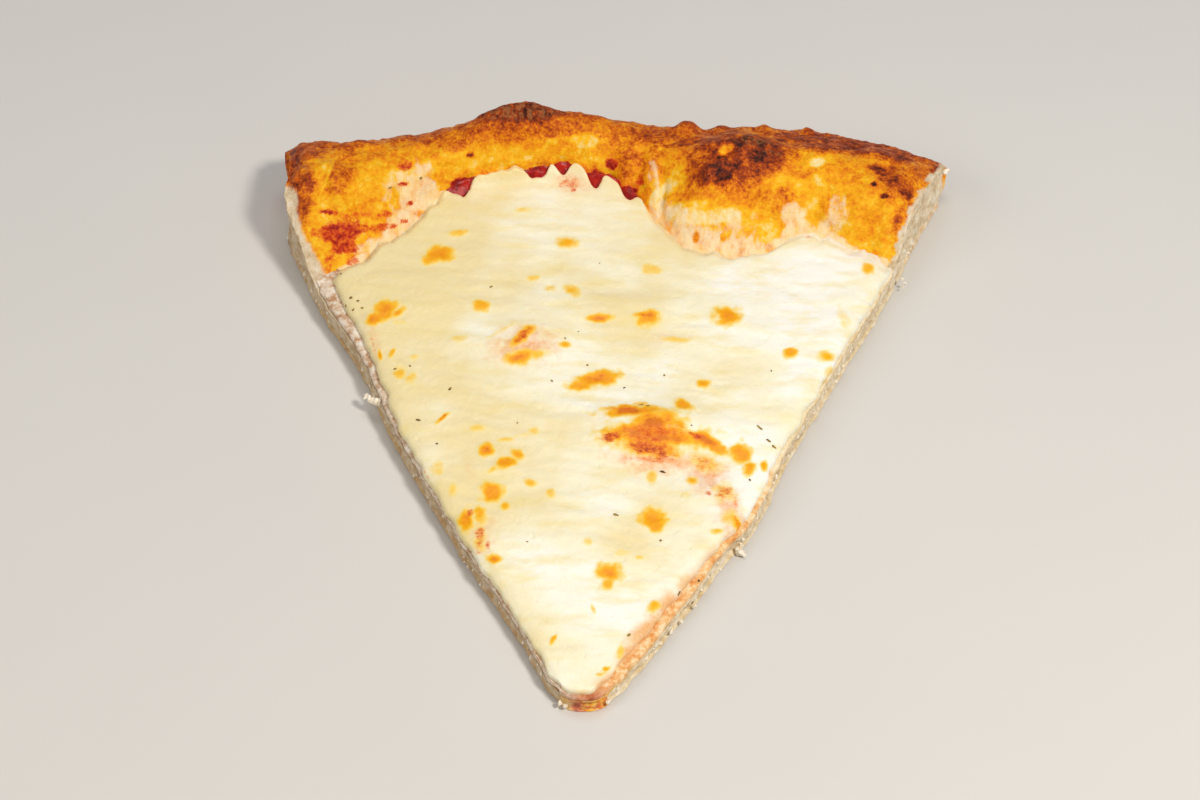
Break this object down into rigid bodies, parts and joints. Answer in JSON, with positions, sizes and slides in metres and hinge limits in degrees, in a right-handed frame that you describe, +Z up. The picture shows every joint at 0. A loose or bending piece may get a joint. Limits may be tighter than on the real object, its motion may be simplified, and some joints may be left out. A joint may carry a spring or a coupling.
{
  "type": "cheese pizza slice",
  "caption": "Triangular slice of cheese pizza that lies flat: browned bread rim, a film of tomato sauce and melted mozzarella with browned spots and blisters.",
  "frame": {"origin": "on the surface that the slice lies on, under the middle of its bounding box", "axes": "+Z up, +Y from the tip to the rim, +X to the right as seen from the tip"},
  "size_m": [0.1796, 0.2034, 0.027],
  "materials": {
    "baked_bread": "baked crust, golden to dark brown, with a pale open crumb on the cut faces",
    "tomato_sauce": "moist, dark red, baked at its edge",
    "melted_mozzarella": "creamy white with an oily sheen and golden brown spots"
  },
  "bodies": {
    "root": {"bread": "baked_bread", "tomato_sauce": "tomato_sauce", "mozzarella": "melted_mozzarella"}
  },
  "joints": []
}
